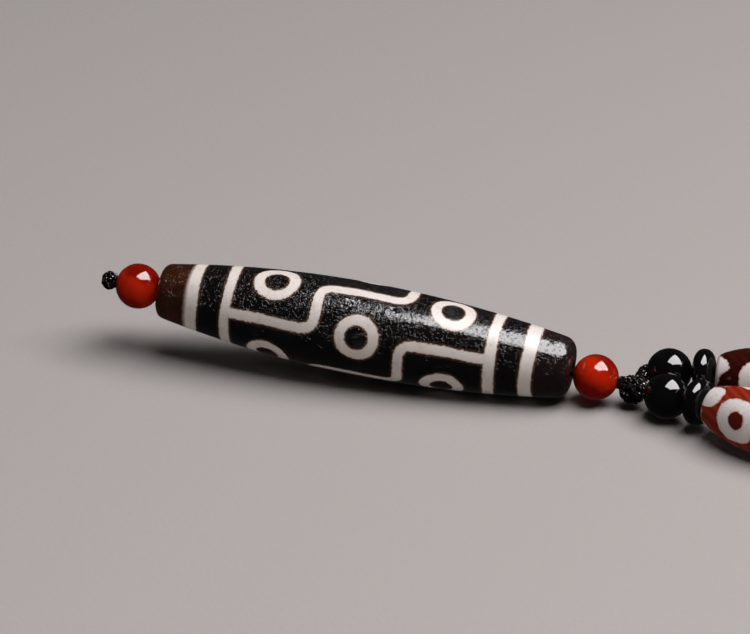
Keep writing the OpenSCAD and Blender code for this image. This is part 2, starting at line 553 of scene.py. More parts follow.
    def etching(self, bench: Bench, place: Socket, edge: Socket) -> Socket:
        """Colours the ivory lines, with their stains and specks.

        Args:
            bench: the material's bench.
            place: the place on the piece.
            edge: the depth inside the lines.

        Returns:
            The colour.
        """
        colour = bench.mix(bench.patches(place, self.stain), self.ivory, self.ivory_dirt)
        colour = bench.mix(bench.patches(place, self.specks), colour, self.ivory_dirt)
        return bench.mix(bench.step(edge, self.rim_edge), colour, self.ivory_rim)

    def chips(self, bench: Bench, place: Socket) -> Socket:
        """Chips the polish into small flats that each lean their own way.

        Args:
            bench: the material's bench.
            place: the place on the piece.

        Returns:
            The chips' height.
        """
        cells = bench.node("ShaderNodeTexVoronoi", {"feature": "SMOOTH_F1"}, Vector=place,
                           Scale=self.chip_scale, Smoothness=self.chip_rounding)
        upright = (0.5, 0.5, 0.5)
        lean = bench.vector("SUBTRACT", cells.outputs["Color"], upright)
        reach = bench.vector("SUBTRACT", place, cells.outputs["Position"])
        slope = bench.vector("DOT_PRODUCT", reach, lean)
        return bench.math("MULTIPLY", slope, bench.patches(place, self.chipped))

    def worn_surface(self, bench: Bench, place: Socket, along: Socket, white: Socket) -> Socket:
        """Wears the surface with dimples, creases, chips and pits, more so in the middle than at the ends.

        Args:
            bench: the material's bench.
            place: the place on the piece.
            along: the distance along the bead.
            white: the share of ivory, which is smoother.

        Returns:
            The surface's height.
        """
        cells = bench.node("ShaderNodeTexVoronoi", Vector=place, Scale=self.dimple_scale)
        dimple = bench.step(cells.outputs["Distance"], self.dimple)
        crease = bench.step(bench.math("ABSOLUTE", bench.swing(place, self.crease_line)), self.crease)
        cut = bench.math("ADD", dimple, crease, self.chips(bench, place))
        right = bench.step(along, self.worn_right_along)
        left = bench.step(along, self.worn_left_along)
        cut = bench.math("MULTIPLY", cut, bench.patches(place, self.worn), right, left)
        grain = bench.math("MULTIPLY", bench.noise(place, self.grain), self.grain_height)
        height = bench.math("SUBTRACT", bench.math("ADD", grain, cut), bench.patches(place, self.pits))
        calm = bench.math("SUBTRACT", 1.0, bench.math("MULTIPLY", white, self.ivory_calm))
        return bench.math("MULTIPLY", height, calm)


@dataclass(frozen=True)
class Carnelian:
    """Finish of the red beads: polished translucent agate with a lighter slanting layer,
    placed as painted glow where light shining through the bead shows.
    """

    deep: tuple = rgb(0.27, 0.0050, 0.0008)
    # The bright colour is the stone's lighter layer and also painted glow of light shining through the bead.
    bright: tuple = rgb(0.66, 0.027, 0.003)
    layer_tilt: tuple = (0.35, 0.5, 0.9)
    layer_wave: float = 0.9
    layer: Step = Step(-0.5, 1.0)
    swirl: Grain = Grain(0.35, 3.0, 0.55)
    swirl_reach: float = 3.2
    glow: InnerGlow = InnerGlow(0.65, (1.0, 0.14, 0.05), 2.6)
    clear_share: float = 0.25
    roughness: float = 0.045

    def build(self, name: str, phase: float) -> bpy.types.Material:
        """Makes the material for one bead.

        Args:
            name: the material's name.
            phase: where the layers start, in radians, which places the lighter layer as painted glow where
                light shines through this bead.

        Returns:
            The material.
        """
        material, bench, shader = new_material(name)
        place = object_place(bench)
        swirl = bench.math("MULTIPLY", bench.noise(place, self.swirl), self.swirl_reach)
        slant = bench.math("ADD", bench.vector("DOT_PRODUCT", place, self.layer_tilt), swirl)
        wave = bench.math("SINE", bench.math("ADD", bench.math("MULTIPLY", slant, self.layer_wave), phase))
        bench.dress(
            shader,
            Base_Color=bench.mix(bench.step(wave, self.layer), self.deep, self.bright),
            Roughness=self.roughness,
            IOR=AGATE_IOR,
            Transmission_Weight=self.clear_share,
        )
        bench.glow(shader, self.glow)
        return material


@dataclass(frozen=True)
class Onyx:
    """Finish of the black beads and discs: mirror polish with faint scuffs."""

    black: tuple = rgb(0.0022, 0.0021, 0.0022)
    hazy_black: tuple = rgb(0.0045, 0.0040, 0.0040)
    haze: Patches = Patches(Grain(0.6, 3.0), Step(0.4, 0.8))
    scuffs: Patches = Patches(Grain(2.5, 4.0), Step(0.45, 0.8, 0.028, 0.075))
    ripple: Grain = Grain(0.45, 1.0)
    relief: Relief = Relief(strength=0.05, height=0.2)

    def build(self) -> bpy.types.Material:
        """Makes the material.

        Returns:
            The material.
        """
        material, bench, shader = new_material("onyx")
        place = object_place(bench)
        bench.dress(
            shader,
            Base_Color=bench.mix(bench.patches(place, self.haze), self.black, self.hazy_black),
            Roughness=bench.patches(place, self.scuffs),
            Normal=bench.bumps(bench.noise(place, self.ripple), self.relief),
            IOR=AGATE_IOR,
        )
        return material


@dataclass(frozen=True)
class RedEtchedAgate:
    """Finish of the small dzi beads: layered red agate with thick white etching.

    A step named edge is read by the depth inside the white, and eye_edge by the depth inside an eye's middle.
    """

    red: tuple = rgb(0.34, 0.030, 0.008)
    dark_red: tuple = rgb(0.10, 0.010, 0.005)
    white: tuple = rgb(0.88, 0.83, 0.80)
    cloudy_white: tuple = rgb(0.62, 0.44, 0.36)
    vein: tuple = rgb(0.55, 0.22, 0.10)
    white_rim: tuple = rgb(0.60, 0.26, 0.14)

    wobble: Grain = Grain(0.9, 3.0, 0.6)
    wobble_reach: float = 1.1
    white_edge: Step = Step(-0.07, 0.07)
    rim_edge: Step = Step(0.0, 0.30, 0.45, 0.0)
    eye_edge: Step = Step(-0.1, 0.1)
    clouds: Patches = Patches(Grain(1.4, 4.0, 0.6), Step(0.45, 0.8, 0.0, 0.3))
    veins: Patches = Patches(Grain(2.6, 3.0, 0.7), Step(0.60, 0.72, 0.0, 0.5))
    layer_scale: float = 0.35
    layer_bend: float = 3.0
    layer_bend_detail: float = 2.0
    layer_bend_scale: float = 0.6
    layer_share: float = 0.6
    dents: Grain = Grain(2.2, 3.0)
    relief: Relief = Relief(strength=0.18, height=0.12)
    glow: InnerGlow = InnerGlow(0.15, (1.0, 0.3, 0.2), 0.8)
    roughness: float = 0.13

    def build(self, name: str) -> bpy.types.Material:
        """Makes the material, which reads the bead's line_depth and eye_depth attributes.

        Args:
            name: the material's name.

        Returns:
            The material.
        """
        material, bench, shader = new_material(name)
        place = object_place(bench)
        wobble = bench.math("MULTIPLY", bench.swing(place, self.wobble), self.wobble_reach)
        edge = bench.math("ADD", bench.attribute("line_depth"), wobble)
        bench.dress(
            shader,
            Base_Color=bench.mix(bench.step(edge, self.white_edge), self.layered_red(bench, place),
                                 self.etching(bench, place, edge)),
            Normal=bench.bumps(bench.noise(place, self.dents), self.relief),
            Roughness=self.roughness,
            IOR=AGATE_IOR,
        )
        bench.glow(shader, self.glow)
        return material

    def layered_red(self, bench: Bench, place: Socket) -> Socket:
        """Colours the red stone in layers, darker inside the eyes.

        Args:
            bench: the material's bench.
            place: the place on the piece.

        Returns:
            The colour.
        """
        layers = bench.node(
            "ShaderNodeTexWave", {"bands_direction": "DIAGONAL"},
            Vector=place, Scale=self.layer_scale, Distortion=self.layer_bend,
            Detail=self.layer_bend_detail, Detail_Scale=self.layer_bend_scale,
        )
        share = bench.math("MULTIPLY", layers.outputs["Fac"], self.layer_share)
        colour = bench.mix(share, self.red, self.dark_red)
        return bench.mix(bench.step(bench.attribute("eye_depth"), self.eye_edge), colour, self.dark_red)

    def etching(self, bench: Bench, place: Socket, edge: Socket) -> Socket:
        """Colours the white pattern, with clouds, brownish veins and a reddish rim.

        Args:
            bench: the material's bench.
            place: the place on the piece.
            edge: the depth inside the pattern.

        Returns:
            The colour.
        """
        colour = bench.mix(bench.patches(place, self.clouds), self.white, self.cloudy_white)
        colour = bench.mix(bench.patches(place, self.veins), colour, self.vein)
        return bench.mix(bench.step(edge, self.rim_edge), colour, self.white_rim)


@dataclass(frozen=True)
class WaxedCord:
    """Finish of the cord: black braided nylon with a waxy glint on its fibres."""

    black: tuple = rgb(0.0030, 0.0024, 0.0026)
    glint: tuple = rgb(0.70, 0.54, 0.58)
    glints: Patches = Patches(Grain(3.6, 1.0), Step(0.64, 0.70))
    glint_roughness: Step = Step(0.0, 1.0, 0.60, 0.42)
    fibres: Grain = Grain(9.0, 3.0, 0.7)
    relief: Relief = Relief(strength=0.6, height=0.05)
    wax_ior: float = 1.12

    def build(self) -> bpy.types.Material:
        """Makes the material.

        Returns:
            The material.
        """
        material, bench, shader = new_material("waxed_cord")
        place = object_place(bench)
        glints = bench.patches(place, self.glints)
        bench.dress(
            shader,
            Base_Color=bench.mix(glints, self.black, self.glint),
            Metallic=glints,
            Normal=bench.bumps(bench.noise(place, self.fibres), self.relief),
            Roughness=bench.step(glints, self.glint_roughness),
            IOR=self.wax_ior,
        )
        return material


@dataclass(frozen=True)
class Outline:
    """Half of a turned bead's outline, from the hole at its left end round to the hole at its right."""

    along: np.ndarray
    radius: np.ndarray

    def turned(self, segments: int) -> tuple[bpy.types.Mesh, np.ndarray, np.ndarray]:
        """Turns the outline about the local X axis into a closed shell with a hole through it.

        Args:
            segments: how many steps go round.

        Returns:
            The mesh, and each vertex's distance along the axis and its angle from the top towards the
            near side, in radians.
        """
        rings = len(self.along)
        angles = np.arange(segments) * 2 * math.pi / segments
        along = np.repeat(self.along, segments)
        radius = np.repeat(self.radius, segments)
        turn = np.tile(angles, rings)
        places = np.stack([along, -radius * np.sin(turn), radius * np.cos(turn)], axis=1)
        ring, step = np.meshgrid(np.arange(rings), np.arange(segments), indexing="ij")
        following = (ring + 1) % rings
        beside = (step + 1) % segments
        faces = np.stack([
            ring * segments + step,
            following * segments + step,
            following * segments + beside,
            ring * segments + beside,
        ], axis=-1).reshape(-1, 4)
        mesh = bpy.data.meshes.new("turned")
        mesh.from_pydata(places.tolist(), [], faces.tolist())
        shape = bmesh.new()
        shape.from_mesh(mesh)
        bmesh.ops.recalc_face_normals(shape, faces=shape.faces)
        shape.to_mesh(mesh)
        shape.free()
        return mesh, along, turn


def store(mesh: bpy.types.Mesh, name: str, values: np.ndarray) -> None:
    """Stores one number for each vertex under a name that a material reads."""
    attribute = mesh.attributes.new(name, "FLOAT", "POINT")
    attribute.data.foreach_set("value", values.astype(np.float32))


@dataclass(frozen=True)
class BarrelEnd:
    """One end of a barrel bead in millimetres: the width that its long curve reaches, and its rounding."""

    width: float
    corner: float


@dataclass(frozen=True)
class Barrel:
    """Sizes of a barrel bead in millimetres, whose long curve rounds into each end face.

    The mouth is the small rounding at the edge of its hole.
    """

    length: float
    width: float
    bore: float
    left: BarrelEnd
    right: BarrelEnd
    mouth: float = 0.18
    corner_steps: int = 12
    face_shares: tuple = (0.66, 0.33, 0.0)
    mouth_turns: tuple = (0.5, 1.0, math.pi / 2)

    def curve(self, end: BarrelEnd) -> float:
        """Returns the radius of the long curve on an end's side."""
        rise = (self.width - end.width) / 2
        return (self.length ** 2 / 4 + rise ** 2) / (2 * rise)

    def surface_radius(self, along: np.ndarray) -> np.ndarray:
        """Measures the long curve's distance from the axis, carried on level past the bead's ends.

        Args:
            along: distances from the middle, in millimetres.

        Returns:
            The radius at each.
        """
        along = np.clip(along, -self.length / 2, self.length / 2)
        curve = np.where(along < 0, self.curve(self.left), self.curve(self.right))
        return np.sqrt(curve ** 2 - along ** 2) - (curve - self.width / 2)

    def meet(self, end: BarrelEnd) -> float:
        """Returns how far from the middle the long curve meets an end's rounding."""
        curve = self.curve(end)
        return (self.length / 2 - end.corner) * curve / (curve - end.corner)

    def end_points(self, end: BarrelEnd) -> list[tuple[float, float]]:
        """Draws one end from its rounding to the hole.

        Args:
            end: the end's sizes.

        Returns:
            Points as (distance from the middle, radius), with the hole's mouth slightly rounded.
        """
        curve = self.curve(end)
        corner_x = self.length / 2 - end.corner
        corner_r = math.sqrt((curve - end.corner) ** 2 - corner_x ** 2) - (curve - self.width / 2)
        lean = math.asin(self.meet(end) / curve)
        lip_r = self.bore / 2 + self.mouth
        rounding = [(corner_x + end.corner * math.sin(a), corner_r + end.corner * math.cos(a))
                    for a in np.linspace(lean, math.pi / 2, self.corner_steps)[1:]]
        face = [(self.length / 2, lip_r + share * (corner_r - lip_r)) for share in self.face_shares]
        lip = [(self.length / 2 - self.mouth * (1 - math.cos(a)), lip_r - self.mouth * math.sin(a))
               for a in self.mouth_turns]
        return rounding + face + lip

    def outline(self, steps: int) -> Outline:
        """Draws the bead's outline.

        Args:
            steps: how many points its long curve has.

        Returns:
            The outline.
        """
        long_curve = np.linspace(-self.meet(self.left), self.meet(self.right), steps)
        points = [(-x, r) for x, r in reversed(self.end_points(self.left))]
        points += list(zip(long_curve, self.surface_radius(long_curve)))
        points += self.end_points(self.right)
        return Outline(*np.array(points).T)


def finish_turned(mesh: bpy.types.Mesh, seat: Seat) -> None:
    """Scales a mesh from millimetres and puts it at its seat."""
    mesh.transform(seat.matrix() @ Matrix.Scale(MM, 4))


def gap_to_path(along: np.ndarray, turn: np.ndarray, radius: np.ndarray, path: Route) -> np.ndarray:
    """Measures each vertex's distance to a path drawn on a turned surface.

    Args:
        along: distances along the axis in millimetres.
        turn: angles in radians.
        radius: the surface's radius at each vertex, which turns angles to lengths.
        path: points as (distance along, angle in radians), joined by straight lines.

    Returns:
        The least distance to the path for each vertex, in millimetres.
    """
    least = np.full(along.shape, UNREACHED)
    for shift in (-2 * math.pi, 0.0, 2 * math.pi):
        for (x0, a0), (x1, a1) in zip(path, path[1:]):
            y0 = (a0 + shift - turn) * radius
            y1 = (a1 + shift - turn) * radius
            dx, dy = x1 - x0, y1 - y0
            px = along - x0
            share = np.clip((px * dx - y0 * dy) / (dx * dx + dy * dy + ALMOST_NONE), 0, 1)
            least = np.minimum(least, np.hypot(px - share * dx, y0 + share * dy))
    return least


def rounded_path(corners: Route, rounding: float, radius: float) -> Route:
    """Rounds the inner corners of a path of straight lines.

    Args:
        corners: points as (distance along in millimetres, angle in radians).
        rounding: how far before and after a corner its curve starts, in millimetres.
        radius: the surface's radius, which turns angles to lengths.

    Returns:
        The path's points with each inner corner as a short curve.
    """
    flat = [Vector((x, a * radius)) for x, a in corners]
    path = [flat[0]]
    for before, corner, after in zip(flat, flat[1:], flat[2:]):
        enter = corner + (before - corner).normalized() * rounding
        leave = corner + (after - corner).normalized() * rounding
        for share in np.linspace(0, 1, CORNER_POINTS):
            path.append(enter * (1 - share) ** 2 + corner * 2 * share * (1 - share) + leave * share ** 2)
    path.append(flat[-1])
    return [(p.x, p.y / radius) for p in path]


@dataclass(frozen=True)
class Band:
    """A white band round a bead: where it lies along the axis and how wide it is."""

    along: float
    width: float


@dataclass(frozen=True)
class EyeRow:
    """Eyes at one place along a bead, and their angles round it."""

    along: float
    turns: tuple


@dataclass(frozen=True)
class NineEyes:
    """The main bead's traditional pattern: end bands, three rows of eyes and three stepped lines.

    Lengths are millimetres. Angles are degrees from the top of the bead as it lies, towards the near side.
    """

    outer_left: Band = Band(-22.8, 1.65)
    inner_left: Band = Band(-17.9, 1.32)
    inner_right: Band = Band(17.6, 1.45)
    outer_right: Band = Band(22.5, 1.75)
    left_eyes: EyeRow = EyeRow(-12.0, (12.8, 133.2, 253.5))
    middle_eyes: EyeRow = EyeRow(0.0, (70.7, 190.7, 310.5))
    right_eyes: EyeRow = EyeRow(11.6, (8.9, 129.3, 249.5))
    eye_radius: float = 2.28
    eye_line_width: float = 1.40
    line_width: float = 1.33
    left_step: float = -5.95
    right_step: float = 5.85
    left_turns: tuple = (72.6, 192.6, 312.6)
    bar_turns: tuple = (11.2, 133.4, 252.5)
    right_turns: tuple = (-52.5, 67.6, 187.5)
    step_rounding: float = 1.9
    bead_radius: float = 6.0

    def depth(self, along: np.ndarray, turn: np.ndarray, radius: np.ndarray) -> np.ndarray:
        """Measures how deep each vertex lies inside the white lines, in millimetres.

        Args:
            along: distances along the axis in millimetres.
            turn: angles from the top towards the near side, in radians.
            radius: the surface's radius at each vertex, in millimetres.

        Returns:
            Positive depths inside a line and negative distances outside.
        """
        depth = np.full(along.shape, -UNREACHED)
        for band in (self.outer_left, self.inner_left, self.inner_right, self.outer_right):
            depth = np.maximum(depth, band.width / 2 - np.abs(along - band.along))
        for row in (self.left_eyes, self.middle_eyes, self.right_eyes):
            for eye_turn in np.radians(row.turns):
                middle = (row.along, eye_turn)
                reach = gap_to_path(along, turn, radius, [middle, middle])
                depth = np.maximum(depth, self.eye_line_width / 2 - np.abs(reach - self.eye_radius))
        for path in self.stepped_lines():
            depth = np.maximum(depth, self.line_width / 2 - gap_to_path(along, turn, radius, path))
        return depth

    def stepped_lines(self) -> list[Route]:
        """Draws the three lines that step round the eyes from the left inner band to the right one.

        Returns:
            The lines' points.
        """
        paths = []
        for turns in zip(self.left_turns, self.bar_turns, self.right_turns):
            left, bar, right = (math.radians(turn) for turn in turns)
            corners = [
                (self.inner_left.along, left), (self.left_step, left), (self.left_step, bar),
                (self.right_step, bar), (self.right_step, right), (self.inner_right.along, right),
            ]
            paths.append(rounded_path(corners, self.step_rounding, self.bead_radius))
        return paths


@dataclass(frozen=True)
class Waver:
    """How the etched lines stray from their chart, as a hand draws them.

    The drift along the bead is in millimetres and the twist round it in radians. A wave is radians to the
    millimetre along the bead.
    """

    drift: float = 0.13
    drift_wave: float = 0.55
    drift_sway: float = 1.3
    drift_slant: float = 0.21
    drift_round: int = 2
    twist: float = 0.13 / 6.0
    twist_wave: float = 0.43
    twist_start: float = 1.1
    twist_slant: float = 0.33
    twist_round: int = 3

    def shifted(self, along: np.ndarray, turn: np.ndarray) -> tuple[np.ndarray, np.ndarray]:
        """Shifts places slightly.

        Args:
            along: distances along the axis in millimetres.
            turn: angles round the axis, in radians.

        Returns:
            The shifted distances and angles.
        """
        drift = self.drift * np.sin(self.drift_wave * along + self.drift_sway * np.sin(turn))
        drift = drift * np.sin(self.drift_round * turn + self.drift_slant * along)
        twist = self.twist * np.sin(self.twist_wave * along + self.twist_start)
        twist = twist * np.sin(self.twist_round * turn - self.twist_slant * along)
        return along + drift, turn + twist


@dataclass(frozen=True)
class Dents:
    """Very shallow hollows, as years of handling leave them. Lengths are millimetres."""

    depth: float = 0.004
    mean: float = 0.8
    wide_scale: float = 0.9
    fine_scale: float = 2.3
    fine_share: float = 0.6
    least_radius: float = 2.0

    def press(self, mesh: bpy.types.Mesh) -> None:
        """Presses the hollows into a bead that lies along X, past the edge of its hole.

        Args:
            mesh: the bead's mesh in millimetres.
        """
        for vertex in mesh.vertices:
            across = Vector((0.0, vertex.co.y, vertex.co.z))
            if across.length < self.least_radius:
                continue
            fine = self.fine_share * noise.noise(vertex.co * self.fine_scale)
            hollow = noise.noise(vertex.co * self.wide_scale) + fine
            vertex.co -= across.normalized() * self.depth * (self.mean + hollow)


@dataclass
class MainBead:
    """The long nine-eye bead."""

    seat: Seat
    barrel: Barrel = Barrel(length=55.8, width=12.3, bore=2.4, left=BarrelEnd(7.0, 1.2),
                            right=BarrelEnd(7.7, 1.9))
    pattern: NineEyes = NineEyes()
    waver: Waver = Waver()
    dents: Dents = Dents()
    finish: EtchedAgate = EtchedAgate()
    long_steps: int = 284
    round_steps: int = 300

    def build(self) -> bpy.types.Object:
        """Makes the bead with its pattern and shallow dents, and dresses it.

        Returns:
            The finished piece.
        """
        mesh, along, turn = self.barrel.outline(self.long_steps).turned(self.round_steps)
        depth = self.pattern.depth(*self.waver.shifted(along, turn), self.barrel.surface_radius(along))
        self.dents.press(mesh)
        store(mesh, "line_depth", depth)
        store(mesh, "along", along)
        finish_turned(mesh, self.seat)
        return new_piece("nine_eye_bead", mesh, "main_dzi", self.finish.build())


@dataclass(frozen=True)
class RoundBead:
    """A drilled round bead."""

    width: float = 6.0
    bore: float = 1.2
    ring_steps: int = 40
    round_steps: int = 80

    def mesh(self) -> bpy.types.Mesh:
        """Turns the bead about X.

        Returns:
            Its mesh in millimetres.
        """
        mouth = math.asin(self.bore / self.width)
        angles = np.linspace(mouth, math.pi - mouth, self.ring_steps)
        outline = Outline(-self.width / 2 * np.cos(angles), self.width / 2 * np.sin(angles))
        return outline.turned(self.round_steps)[0]

    def build(self, name: str, node: str, seat: Seat, slot: Slot,
              finish: bpy.types.Material) -> bpy.types.Object:
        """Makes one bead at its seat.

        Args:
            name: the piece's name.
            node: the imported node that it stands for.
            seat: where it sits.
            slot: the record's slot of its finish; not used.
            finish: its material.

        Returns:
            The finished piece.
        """
        mesh = self.mesh()
        finish_turned(mesh, seat)
        return new_piece(name, mesh, node, finish)


@dataclass(frozen=True)
class Disc:
    """A flat black disc bead with soft faces and a round rim."""

    width: float = 6.2
    thickness: float = 3.0
    rim: float = 1.2
    bore: float = 1.2
    face_steps: int = 10
    rim_steps: int = 18
    round_steps: int = 96

    def outline(self) -> Outline:
        """Draws the disc's outline in millimetres, as two wide arcs joined by the rim's round one.

        Returns:
            The outline.
        """
        half, thick = self.width / 2, self.thickness / 2
        face = (half ** 2 + thick ** 2 - 2 * half * self.rim) / (2 * thick - 2 * self.rim)
        rim_r = half - self.rim
        lean = math.asin(rim_r / (face - self.rim))
        start = math.asin(self.bore / 2 / face)
        side = [(thick - face + face * math.cos(a), face * math.sin(a))
                for a in np.linspace(start, lean, self.face_steps)]
        edge = [(self.rim * math.cos(a), rim_r + self.rim * math.sin(a))
                for a in np.linspace(lean, math.pi - lean, self.rim_steps)[1:-1]]
        points = side + edge + [(-x, r) for x, r in reversed(side)]
        return Outline(*np.array(points[::-1]).T)

    def build(self, name: str, node: str, seat: Seat, finish: bpy.types.Material) -> bpy.types.Object:
        """Makes one disc at its seat.

        Args:
            name: the piece's name.
            node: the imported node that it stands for.
            seat: where it sits.
            finish: its material.

        Returns:
            The finished piece.
        """
        mesh = self.outline().turned(self.round_steps)[0]
        finish_turned(mesh, seat)
        return new_piece(name, mesh, node, finish)


@dataclass(frozen=True)
class SmallDzi:
    """A small red dzi bead with white toothed ends and a row of eyes.

    Lengths are millimetres. Angles are degrees from the top towards the near side.
    """

    barrel: Barrel = Barrel(length=14.0, width=8.0, bore=1.2, left=BarrelEnd(4.8, 0.9),
                            right=BarrelEnd(4.8, 0.9))
    finish: RedEtchedAgate = RedEtchedAgate()
    cap_depth: float = 0.45
    teeth: int = 3
    tooth_depth: float = 2.8
    tooth_fullness: float = 0.5
    tooth_share: float = 0.57
    tooth_slope: float = 0.7
    tooth_turn: float = -38.0
    right_tooth_shift: float = 45.0
    eyes: int = 3
    eye_turn: float = 67.0
    eye_along: float = -0.7
    eye_radius: float = 2.1
    eye_line_width: float = 1.95
    long_steps: int = 120
    round_steps: int = 180

    def toothed_ends(self, along: np.ndarray, turn: np.ndarray) -> np.ndarray:
        """Measures how deep each vertex lies inside the white ends, whose edges run out into teeth.

        Args:
            along: distances along the axis in millimetres.
            turn: angles in radians.

        Returns:
            Positive depths inside the white and negative distances outside.
        """
        depth = np.full(along.shape, -UNREACHED)
        for side, shift in ((-1, 0.0), (1, self.right_tooth_shift)):
            first = math.radians(self.eye_turn + self.tooth_turn + shift)
            phase = np.abs((turn - first) / (2 * math.pi) * self.teeth % 1.0 * 2 - 1)
            tooth = (1 - np.clip((1 - phase) / self.tooth_share, 0, 1) ** 2) ** self.tooth_fullness
            edge = self.barrel.length / 2 - self.cap_depth - self.tooth_depth * tooth
            depth = np.maximum(depth, (side * along - edge) * self.tooth_slope)
        return depth

    def eye_reach(self, along: np.ndarray, turn: np.ndarray) -> np.ndarray:
        """Measures how far each vertex lies from the middle of the nearest eye.

        Args:
            along: distances along the axis in millimetres.
            turn: angles in radians.

        Returns:
            The distances in millimetres.
        """
        radius = self.barrel.surface_radius(along)
        reach = np.full(along.shape, UNREACHED)
        for index in range(self.eyes):
            eye_turn = (math.radians(self.eye_turn) + index * 2 * math.pi / self.eyes) % (2 * math.pi)
            middle = (self.eye_along, eye_turn)
            reach = np.minimum(reach, gap_to_path(along, turn, radius, [middle, middle]))
        return reach

    def build(self, name: str, node: str, seat: Seat) -> bpy.types.Object:
        """Makes the bead at its seat, with its pattern.

        Args:
            name: the piece's name.
            node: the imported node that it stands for.
            seat: where it sits.

        Returns:
            The finished piece.
        """
        mesh, along, turn = self.barrel.outline(self.long_steps).turned(self.round_steps)
        reach = self.eye_reach(along, turn)
        rings = self.eye_line_width / 2 - np.abs(reach - self.eye_radius)
        store(mesh, "line_depth", np.maximum(self.toothed_ends(along, turn), rings))
        store(mesh, "eye_depth", self.eye_radius - self.eye_line_width / 2 - reach)
        finish_turned(mesh, seat)
        return new_piece(name, mesh, node, self.finish.build(f"{name}_agate"))


def socket_id(tree: bpy.types.NodeTree, name: str) -> str:
    """Returns the identifier of a tree's input socket by its name."""
    return next(item.identifier for item in tree.interface.items_tree
                if item.name == name and item.in_out == "INPUT")


def run_tree(carrier: bpy.types.Mesh, tree: bpy.types.NodeTree, values: dict[str, object]) -> bpy.types.Mesh:
    """Runs a geometry tree on a mesh and keeps the result as a plain mesh.

    Args:
        carrier: the mesh that the tree starts from.
        tree: the geometry tree.
        values: the tree's inputs by name.

    Returns:
        The evaluated mesh.
    """
    holder = bpy.data.objects.new("holder", carrier)
    bpy.context.scene.collection.objects.link(holder)
    modifier = holder.modifiers.new("maker", "NODES")
    modifier.node_group = tree
    for name, value in values.items():
        modifier[socket_id(tree, name)] = value
    graph = bpy.context.evaluated_depsgraph_get()
    result = bpy.data.meshes.new_from_object(holder.evaluated_get(graph))
    holder.modifiers.remove(modifier)
    bpy.data.objects.remove(holder)
    return result


def new_geometry_tree(name: str, inputs: dict[str, tuple[str, object]]) -> tuple[bpy.types.NodeTree, Bench]:
    """Starts a geometry tree with a geometry input and output and further named inputs.

    Args:
        name: the tree's name.
        inputs: socket type and default value by input name.

    Returns:
        The tree and a bench for its nodes.
    """
    tree = bpy.data.node_groups.new(name, "GeometryNodeTree")
    tree.interface.new_socket("Geometry", in_out="INPUT", socket_type="NodeSocketGeometry")
    tree.interface.new_socket("Geometry", in_out="OUTPUT", socket_type="NodeSocketGeometry")
    for key, (kind, value) in inputs.items():
        socket = tree.interface.new_socket(key, in_out="INPUT", socket_type=kind)
        if value is not None:
            socket.default_value = value
    return tree, Bench(tree)


class StringTree:
    """Geometry tree that hangs one bead on each point of a thread."""

    def __init__(self) -> None:
        """Builds the tree once."""
        inputs = {
            "Bead": ("NodeSocketObject", None),
            "Finish": ("NodeSocketMaterial", None),
            "Seed": ("NodeSocketInt", 7),
        }
        self.tree, bench = new_geometry_tree("bead_string", inputs)
        given = bench.node("NodeGroupInput").outputs
        info = bench.node("GeometryNodeObjectInfo", Object=given["Bead"])
        axis = bench.node("GeometryNodeInputNamedAttribute", {"data_type": "FLOAT_VECTOR"}, Name="thread")
        turned = bench.node("FunctionNodeAlignRotationToVector", {"axis": "X"}, Vector=axis.outputs[0])
        spin = bench.node("FunctionNodeRandomValue", {"data_type": "FLOAT"}, Seed=given["Seed"])
        # The node has limits for each kind of value, and this is the upper one for numbers.
        spin.inputs[3].default_value = 2 * math.pi
        about = bench.node("FunctionNodeAxisAngleToRotation", Axis=(1.0, 0.0, 0.0), Angle=spin.outputs[1])
        both = bench.node("FunctionNodeRotateRotation", {"rotation_space": "LOCAL"},
                          Rotation=turned.outputs[0], Rotate_By=about.outputs[0])
        placed = bench.node(
            "GeometryNodeInstanceOnPoints", Points=given["Geometry"], Instance=info.outputs["Geometry"],
            Rotation=both.outputs[0],
        )
        real = bench.node("GeometryNodeRealizeInstances", Geometry=placed.outputs[0])
        dressed = bench.node("GeometryNodeSetMaterial", Geometry=real.outputs[0], Material=given["Finish"])
        smooth = bench.node("GeometryNodeSetShadeSmooth", Geometry=dressed.outputs[0])
        bench.node("NodeGroupOutput", Geometry=smooth.outputs[0])


@dataclass
class OnyxString:
    """The plain black beads of one side of the loop."""

    node: str
    start: Vector
    bead: RoundBead = RoundBead(ring_steps=22, round_steps=40)

    def threaded_places(self, packed: bpy.types.Object) -> bpy.types.Mesh:
        """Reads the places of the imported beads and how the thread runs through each.

        Args:
            packed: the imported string.

        Returns:
            A mesh of one point for each bead, with the thread's direction as an attribute.
        """
        centres = loose_centres(packed, self.start)
        before = [self.start] + centres[:-1]
        after = centres[1:] + [2 * centres[-1] - centres[-2]]
        thread = [(b - a).normalized() for a, b in zip(before, after)]
        points = bpy.data.meshes.new("places")
        points.from_pydata(centres, [], [])
        attribute = points.attributes.new("thread", "FLOAT_VECTOR", "POINT")
        attribute.data.foreach_set("vector", np.array(thread, dtype=np.float32).ravel())
        return points

    def build(self, name: str, tree: StringTree, packed: bpy.types.Object,
              finish: bpy.types.Material) -> bpy.types.Object:
        """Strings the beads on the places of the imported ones.

        Args:
            name: the piece's name.
            tree: the geometry tree that hangs the beads.
            packed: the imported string.
            finish: the beads' material.

        Returns:
            The finished piece.
        """
        bead_mesh = self.bead.mesh()
        bead_mesh.transform(Matrix.Scale(MM, 4))
        bead = bpy.data.objects.new("one_bead", bead_mesh)
        bpy.context.scene.collection.objects.link(bead)
        mesh = run_tree(self.threaded_places(packed), tree.tree, {"Bead": bead, "Finish": finish})
        bpy.data.objects.remove(bead)
        return new_piece(name, mesh, self.node)


